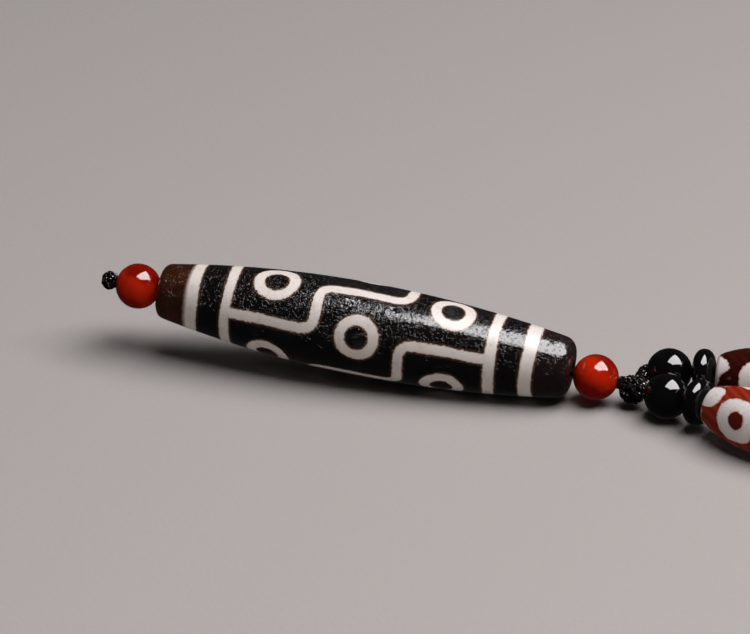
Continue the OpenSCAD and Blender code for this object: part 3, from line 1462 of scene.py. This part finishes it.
class BraidTree:
    """Geometry tree that braids strands round a line: half of them turn each way, over and under."""

    def __init__(self) -> None:
        """Builds the tree once."""
        inputs = {
            "Strands": ("NodeSocketInt", 8),
            "Braid Radius": ("NodeSocketFloat", 0.27 * MM),
            "Strand Radius": ("NodeSocketFloat", 0.125 * MM),
            "Weave Depth": ("NodeSocketFloat", 0.05 * MM),
            "Turns Per Metre": ("NodeSocketFloat", 400.0),
            "Step": ("NodeSocketFloat", 0.11 * MM),
            "Strand Sides": ("NodeSocketInt", 6),
            "Finish": ("NodeSocketMaterial", None),
        }
        self.tree, bench = new_geometry_tree("braid", inputs)
        given = bench.node("NodeGroupInput").outputs
        line = bench.node("GeometryNodeMeshToCurve", Mesh=given["Geometry"])
        even = bench.node("GeometryNodeResampleCurve", {"mode": "LENGTH"}, Curve=line.outputs[0],
                          Length=given["Step"])
        copies = bench.node("GeometryNodeDuplicateElements", {"domain": "SPLINE"},
                            Geometry=even.outputs[0], Amount=given["Strands"])
        number = copies.outputs["Duplicate Index"]
        way = bench.math("SUBTRACT", bench.math("MULTIPLY", bench.math("MODULO", number, 2.0), 2.0), 1.0)
        share = bench.math("DIVIDE", number, given["Strands"])
        length = bench.node("GeometryNodeSplineParameter").outputs["Length"]
        wound = bench.math("MULTIPLY", length, given["Turns Per Metre"], 2 * math.pi)
        start = bench.math("MULTIPLY", share, 2 * math.pi)
        angle = bench.math("ADD", bench.math("MULTIPLY", wound, way), start)
        crossings = bench.math("MULTIPLY", given["Strands"], 0.5)
        height = bench.math("COSINE", bench.math("MULTIPLY", wound, crossings))
        height = bench.math("MULTIPLY", height, way, given["Weave Depth"])
        reach = bench.math("ADD", given["Braid Radius"], height)
        normal = bench.node("GeometryNodeInputNormal").outputs[0]
        tangent = bench.node("GeometryNodeInputTangent").outputs[0]
        side = bench.vector("CROSS_PRODUCT", tangent, normal)
        out = bench.vector(
            "ADD",
            bench.vector("SCALE", normal, bench.math("COSINE", angle)),
            bench.vector("SCALE", side, bench.math("SINE", angle)),
        )
        moved = bench.node("GeometryNodeSetPosition", Geometry=copies.outputs[0],
                           Offset=bench.vector("SCALE", out, reach))
        ring = bench.node("GeometryNodeCurvePrimitiveCircle", {"mode": "RADIUS"},
                          Resolution=given["Strand Sides"], Radius=given["Strand Radius"])
        strands = bench.node("GeometryNodeCurveToMesh", Curve=moved.outputs[0],
                             Profile_Curve=ring.outputs[0], Fill_Caps=True)
        real = bench.node("GeometryNodeRealizeInstances", Geometry=strands.outputs[0])
        dressed = bench.node("GeometryNodeSetMaterial", Geometry=real.outputs[0], Material=given["Finish"])
        bench.node("NodeGroupOutput", Geometry=dressed.outputs[0])


@dataclass(frozen=True)
class WoundBall:
    """A line wound over a ball in the way of a turk's head knot. Lengths are millimetres.

    It goes round the axis in turns, swings from end to end in waves by an angle in radians, and rises and
    sinks by the weave where it crosses itself. Squeeze is the ball's length as a share of its width.
    """

    radius: float
    turns: int
    waves: int
    weave: float = 0.0
    squeeze: float = 1.0
    swing: float = 1.12
    points: int = 420

    def line(self, seat: Seat) -> list[Vector]:
        """Winds the line.

        Args:
            seat: the ball's middle and the knot's axis.

        Returns:
            The line's points.
        """
        frame = seat.matrix()
        line = []
        for whole in np.linspace(0, 2 * math.pi, self.points):
            swing = self.swing * math.sin(whole * self.waves)
            reach = (self.radius + self.weave * math.cos(whole * self.turns * self.waves)) * MM
            flat = reach * math.cos(swing)
            across = flat * math.cos(whole * self.turns)
            upward = flat * math.sin(whole * self.turns)
            line.append(frame @ Vector((self.squeeze * reach * math.sin(swing), across, upward)))
        return line


@dataclass(frozen=True)
class Twist:
    """Cords twisted about each other along a straight stretch. Lengths are millimetres."""

    radius: float
    pitch: float = 3.0
    cords: int = 3
    points_per_turn: int = 24

    def lines(self, start: Vector, end: Vector) -> list[list[Vector]]:
        """Twists the cords.

        Args:
            start: where the stretch starts.
            end: where it ends.

        Returns:
            Each cord's points.
        """
        turns = (end - start).length / (self.pitch * MM)
        frame = Seat(start, end - start).matrix().to_3x3()
        lines = []
        for cord in range(self.cords):
            line = []
            for share in np.linspace(0, 1, round(turns * self.points_per_turn)):
                angle = (cord / self.cords + share * turns) * 2 * math.pi
                offset = Vector((0.0, math.cos(angle), math.sin(angle))) * self.radius * MM
                line.append(start.lerp(end, share) + frame @ offset)
            lines.append(line)
        return lines


def line_mesh(lines: list[list[Vector]]) -> bpy.types.Mesh:
    """Makes a mesh of separate open lines.

    Args:
        lines: each line's points.

    Returns:
        The mesh.
    """
    points, edges = [], []
    for line in lines:
        first = len(points)
        points += line
        edges += [(first + i, first + i + 1) for i in range(len(line) - 1)]
    mesh = bpy.data.meshes.new("lines")
    mesh.from_pydata(points, edges, [])
    return mesh


@dataclass
class Knots:
    """The cord's two knots, tied in braided cord. Lengths are millimetres."""

    bead_radius: float = RoundBead.width / 2
    gap: float = 0.06
    cord_radius: float = 0.42
    end_place: float = 3.85
    end_radius: float = 1.32
    body_radius: float = 1.9
    arm_radius: float = 1.0
    end_ball: WoundBall = WoundBall(end_radius - cord_radius, turns=3, waves=4, weave=0.08, squeeze=0.9)
    body_ball: WoundBall = WoundBall(body_radius - cord_radius, turns=5, waves=7, weave=0.12)
    core_ball: WoundBall = WoundBall(0.6, turns=3, waves=4)
    arm: Twist = Twist(arm_radius - cord_radius)

    def braid(self, name: str, tree: BraidTree, lines: list[list[Vector]], node: str,
              finish: bpy.types.Material) -> bpy.types.Object:
        """Braids the cord along a knot's lines.

        Args:
            name: the piece's name.
            tree: the geometry tree that braids the cord.
            lines: the lines that the cord follows.
            node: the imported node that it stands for.
            finish: the cord's material.

        Returns:
            The finished piece.
        """
        mesh = run_tree(line_mesh(lines), tree.tree, {"Finish": finish})
        return new_piece(name, mesh, node)

    def build_end(self, tree: BraidTree, red: Seat, finish: bpy.types.Material) -> bpy.types.Object:
        """Makes the knot at the pendant's free end.

        Args:
            tree: the geometry tree that braids the cord.
            red: the outer red bead's seat.
            finish: the cord's material.

        Returns:
            The finished piece.
        """
        middle = Seat(red.pole(-self.end_place * MM), red.axis)
        return self.braid("free_end_knot", tree, [self.end_ball.line(middle)], "end_knot", finish)

    def build_junction(self, tree: BraidTree, red: Seat, near: Seat, far: Seat,
                       finish: bpy.types.Material) -> bpy.types.Object:
        """Makes the knot where the pendant's cord splits into the loop's two sides.

        Args:
            tree: the geometry tree that braids the cord.
            red: the inner red bead's seat.
            near: the near side's first onyx bead.
            far: the far side's first onyx bead.
            finish: the cord's material.

        Returns:
            The finished piece.
        """
        hole = self.bead_radius + self.gap
        leave = red.pole(hole * MM)
        far_start = far.pole(-hole * MM)
        middle = near.pole(-(hole + self.gap + self.body_radius) * MM)
        seat = Seat(middle, middle - leave)
        lines = [self.body_ball.line(seat), self.core_ball.line(seat)]
        lines += self.arm.lines(leave, middle)
        lines += self.arm.lines(middle, far_start)
        return self.braid("junction_knot_cord", tree, lines, "junction_knot", finish)


@dataclass(frozen=True)
class Camera:
    """The photograph's view of the pendant, found from its beads' outlines. Angles are degrees."""

    azimuth: float = 24.39
    elevation: float = 30.0
    distance_mm: float = 590.1
    focal_px: float = 4500.0
    aim_right_mm: float = 1.275
    aim_height_mm: float = 8.56
    clip_start_m: float = 0.01

    def axes(self) -> tuple[Vector, Vector]:
        """Returns the directions to the picture's right and away from the camera along the floor."""
        turn = math.radians(self.azimuth)
        return Vector((math.cos(turn), math.sin(turn), 0.0)), Vector((-math.sin(turn), math.cos(turn), 0.0))

    def build(self, middle: Vector) -> bpy.types.Object:
        """Adds the camera and makes it the scene's.

        Args:
            middle: the middle of the main bead.

        Returns:
            The camera.
        """
        right, away = self.axes()
        rise = math.radians(self.elevation)
        back = -away * math.cos(rise) + UP * math.sin(rise)
        aim = Vector((middle.x, middle.y, 0.0))
        aim += (right * self.aim_right_mm + UP * self.aim_height_mm) * MM
        data = bpy.data.cameras.new("photo_camera")
        data.lens = data.sensor_width * self.focal_px / PHOTO_WIDTH_PX
        data.clip_start = self.clip_start_m
        camera = bpy.data.objects.new("photo_camera", data)
        camera.location = aim + back * self.distance_mm * MM
        camera.rotation_mode = "QUATERNION"
        camera.rotation_quaternion = (-back).to_track_quat("-Z", "Y")
        bpy.context.scene.collection.objects.link(camera)
        bpy.context.scene.camera = camera
        return camera


@dataclass(frozen=True)
class PaleFloor:
    """Finish of the floor: matt and nearly even."""

    tone: tuple = rgb(0.43, 0.405, 0.385)
    light_tone: tuple = rgb(0.44, 0.415, 0.395)
    mottle: Grain = Grain(0.9, 3.0)
    tooth: Grain = Grain(1.4, 3.0)
    relief: Relief = Relief(strength=0.25, height=0.2)

    def build(self) -> bpy.types.Material:
        """Makes the material.

        Returns:
            The material.
        """
        material, bench, shader = new_material("pale_floor")
        place = object_place(bench)
        bench.dress(
            shader,
            Base_Color=bench.mix(bench.noise(place, self.mottle), self.tone, self.light_tone),
            Normal=bench.bumps(bench.noise(place, self.tooth), self.relief),
            Roughness=1.0,
            Specular_IOR_Level=0.0,
        )
        return material


@dataclass(frozen=True)
class Studio:
    """One slanting softbox up to the right, dim surroundings and a pale floor.

    The softbox's middle and its edges are given to the picture's right, away and up, as shares of its reach.
    They are fitted to its reflections in the beads, with the two edges at right angles.
    """

    middle: tuple = (0.332, -0.174, 0.927)
    long_edge: tuple = (0.484, 0.643, -0.813)
    short_edge: tuple = (0.611, -0.420, 0.032)
    reach_m: float = 0.8
    glow: float = 5.8
    shine: float = 7.0
    shine_behind_m: float = 0.01
    tint: tuple = (1.0, 0.965, 0.985)
    surround: tuple = rgb(0.30, 0.30, 0.32)
    surround_strength: float = 0.07
    floor: PaleFloor = PaleFloor()
    floor_reach_m: float = 3.0

    def build(self, camera: Camera, middle: Vector) -> None:
        """Adds the lights, the surroundings and the floor.

        Args:
            camera: the photograph's view, which gives the picture's directions.
            middle: the middle of the main bead.
        """
        self.build_softbox(camera, middle)
        self.build_surround()
        self.build_floor()
        view = bpy.context.scene.view_settings
        view.view_transform = "Standard"
        view.look = "None"

    def build_softbox(self, camera: Camera, middle: Vector) -> None:
        """Adds the softbox, and close behind it a light that only adds shine to the polished stones.

        Args:
            camera: the photograph's view, which gives the picture's directions.
            middle: the middle of the main bead.
        """
        right, away = camera.axes()

        def turned(parts: tuple) -> Vector:
            """Returns a picture direction as metres in the necklace's frame."""
            return (right * parts[0] + away * parts[1] + UP * parts[2]) * self.reach_m

        long_edge = turned(self.long_edge)
        short_edge = turned(self.short_edge)
        face = long_edge.cross(short_edge).normalized()
        across = long_edge.normalized()
        placed = Matrix((across, (-face).cross(across), -face)).transposed().to_4x4()
        placed.translation = middle + turned(self.middle)
        self.add_light("softbox", placed, long_edge.length, short_edge.length, self.glow)
        behind = Matrix.Translation(-face * self.shine_behind_m) @ placed
        shine = self.add_light("softbox_shine", behind, long_edge.length, short_edge.length, self.shine)
        shine.visible_diffuse = False

    def add_light(self, name: str, placed: Matrix, width: float, height: float,
                  radiance: float) -> bpy.types.Object:
        """Adds an oblong light.

        Args:
            name: the light's name.
            placed: its place and turn.
            width: its width in metres.
            height: its height in metres.
            radiance: how bright its face is.

        Returns:
            The light.
        """
        data = bpy.data.lights.new(name, "AREA")
        data.shape = "RECTANGLE"
        data.size = width
        data.size_y = height
        data.color = self.tint
        data.energy = radiance * math.pi * width * height
        light = bpy.data.objects.new(name, data)
        light.matrix_world = placed
        bpy.context.scene.collection.objects.link(light)
        return light

    def build_surround(self) -> None:
        """Sets the dim, even light from all round."""
        world = bpy.data.worlds.new("surround")
        world.use_nodes = True
        back = world.node_tree.nodes["Background"]
        back.inputs["Color"].default_value = self.surround
        back.inputs["Strength"].default_value = self.surround_strength
        bpy.context.scene.world = world

    def build_floor(self) -> None:
        """Adds the pale floor that the necklace lies on, which the polished black stones don't mirror."""
        mesh = bpy.data.meshes.new("floor")
        reach = self.floor_reach_m
        corners = [(-reach, -reach, 0.0), (reach, -reach, 0.0), (reach, reach, 0.0), (-reach, reach, 0.0)]
        mesh.from_pydata(corners, [], [(0, 1, 2, 3)])
        mesh.materials.append(self.floor.build())
        floor = bpy.data.objects.new("floor", mesh)
        bpy.context.scene.collection.objects.link(floor)
        floor.visible_glossy = False


@dataclass
class Necklace:
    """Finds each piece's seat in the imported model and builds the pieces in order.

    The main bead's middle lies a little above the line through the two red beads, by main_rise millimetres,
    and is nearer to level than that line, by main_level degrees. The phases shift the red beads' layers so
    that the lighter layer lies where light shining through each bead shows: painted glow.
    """

    nodes: dict[str, bpy.types.Object]
    main_rise: float = 0.3
    main_level: float = 0.4
    red_bead: RoundBead = RoundBead(bore=1.4)
    # Each phase places that bead's lighter layer as painted glow of light shining through it.
    outer_painted_glow_phase: float = 2.4
    inner_painted_glow_phase: float = 0.5
    first_onyx: RoundBead = RoundBead()
    disc: Disc = Disc()
    near_dzi: SmallDzi = SmallDzi()
    # The far bead's red and dark red are painted shade: darker copies of the near bead's reds, for a bead in
    # shadow.
    far_dzi: SmallDzi = SmallDzi(
        finish=RedEtchedAgate(red=rgb(0.050, 0.005, 0.003), dark_red=rgb(0.020, 0.003, 0.002)),
        cap_depth=0.55, tooth_depth=1.2, tooth_fullness=1.4, tooth_turn=-27.0,
    )

    def __post_init__(self) -> None:
        """Reads the pendant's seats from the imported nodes."""
        outer = box_centre("outer_carnelian")
        inner = box_centre("inner_carnelian")
        axis = (inner - outer).normalized()
        self.outer_red = Seat(outer, axis)
        self.inner_red = Seat(inner, axis)
        level = Matrix.Rotation(-math.radians(self.main_level), 3, UP.cross(axis).normalized())
        self.main = Seat((outer + inner) / 2 + UP * self.main_rise * MM, level @ axis)

    def side_seat(self, side: str, part: str, longest: bool) -> Seat:
        """Finds the seat of a side's disc or small dzi bead.

        Args:
            side: near or far.
            part: the node's name without its side.
            longest: True where the bead is longer than it is wide.

        Returns:
            The seat.
        """
        node = f"{side}_{part}"
        return Seat(box_centre(node), principal_axis(self.nodes[node], longest))

    def onyx_seat(self, side: str) -> Seat:
        """Finds the seat of a side's first onyx bead, whose thread runs on to the inner disc.

        Args:
            side: near or far.

        Returns:
            The seat.
        """
        centre = box_centre(f"{side}_onyx")
        ahead = box_centre(f"{side}_inner_disc")
        return Seat(centre, (ahead - centre).normalized())

    def build_pendant(self) -> None:
        """Builds the main bead and its two red neighbours."""
        MainBead(self.main).build()
        carnelian = Carnelian()
        reds = (("outer", self.outer_red, self.outer_painted_glow_phase), ("inner", self.inner_red, self.inner_painted_glow_phase))
        for end, seat, phase in reds:
            finish = carnelian.build(f"carnelian_{end}", phase)
            self.red_bead.build(f"{end}_red_bead", f"{end}_carnelian", seat, Slot.CARNELIAN, finish)

    def build_side(self, side: str, dzi: SmallDzi, onyx: bpy.types.Material, tree: StringTree) -> None:
        """Builds one side of the loop.

        Args:
            side: near or far.
            dzi: the side's small dzi bead.
            onyx: the black beads' material.
            tree: the geometry tree that hangs plain beads.
        """
        self.first_onyx.build(f"{side}_first_onyx", f"{side}_onyx", self.onyx_seat(side), Slot.ONYX, onyx)
        for part in ("inner_disc", "outer_disc"):
            seat = self.side_seat(side, part, longest=False)
            self.disc.build(f"{side}_{part}_bead", f"{side}_{part}", seat, onyx)
        seat = self.side_seat(side, "small_dzi", longest=True)
        dzi.build(f"{side}_small_dzi_bead", f"{side}_small_dzi", seat)
        node = f"{side}_onyx_string"
        string = OnyxString(node, start=box_centre(f"{side}_outer_disc"))
        string.build(f"{side}_string_beads", tree, self.nodes[node], onyx)

    def build_cords(self) -> None:
        """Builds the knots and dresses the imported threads."""
        finish = WaxedCord().build()
        tree = BraidTree()
        knots = Knots()
        knots.build_end(tree, self.outer_red, finish)
        knots.build_junction(tree, self.inner_red, self.onyx_seat("near"), self.onyx_seat("far"), finish)
        for node in ("pendant_thread", "loop_thread"):
            materials = self.nodes[node].data.materials
            materials.clear()
            materials.append(finish)
            log.info("%s: kept as packed", node)

    def build(self) -> None:
        """Builds all the pieces."""
        self.build_pendant()
        onyx = Onyx().build()
        tree = StringTree()
        self.build_side("near", self.near_dzi, onyx, tree)
        self.build_side("far", self.far_dzi, onyx, tree)
        self.build_cords()


def main() -> None:
    """Builds the camera, the studio and the necklace."""
    logging.basicConfig(level=logging.INFO, format="%(name)s: %(message)s")
    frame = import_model()
    necklace = Necklace(frame["nodes"])
    camera = Camera()
    camera.build(necklace.main.centre)
    Studio().build(camera, necklace.main.centre)
    necklace.build()


if __name__ == "__main__":
    main()
